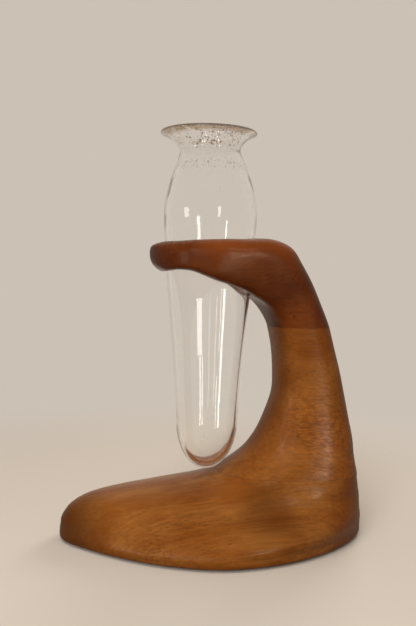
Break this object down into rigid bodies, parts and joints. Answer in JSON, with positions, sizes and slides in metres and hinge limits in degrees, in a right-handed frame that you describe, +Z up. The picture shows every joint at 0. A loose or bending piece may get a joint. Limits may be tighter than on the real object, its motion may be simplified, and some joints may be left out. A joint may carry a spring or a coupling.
{
  "type": "vase with stand",
  "caption": "Hand-blown clear glass vase with a speckled flared lip, hanging upright in the ring of a carved C-shaped teak stand.",
  "frame": {"origin": "on the vase's axis, in the plane of the felt pads' undersides (the table)", "axes": "+Z up along the vase's axis, +X from the vase towards the stand's column and heel, +Y away from the viewer of the picture"},
  "size_m": [0.2396, 0.1562, 0.3165],
  "materials": {
    "teak_foot": "oiled satin",
    "teak_column": "oiled satin",
    "teak_arm": "oiled satin",
    "clear_glass": "hand-blown, clear",
    "birch": "plain",
    "felt": "felt"
  },
  "bodies": {
    "stand": {"base_slab": "teak_foot", "column_block": "teak_column", "arm_block": "teak_arm", "foot_dowel_inner": "birch", "foot_dowel_near": "birch", "foot_dowel_far": "birch", "neck_dowel_inner": "birch", "neck_dowel_outer": "birch", "felt_pad_toe": "felt", "felt_pad_near": "felt", "felt_pad_middle": "felt", "felt_pad_far": "felt", "felt_pad_heel": "felt"},
    "vase": {"glass_vase": "clear_glass"}
  },
  "joints": [
    {"name": "vase_lift", "type": "slide", "parent": "stand", "child": "vase", "axis": [0, 0, 1], "range_m": [0, 0.2]}
  ]
}
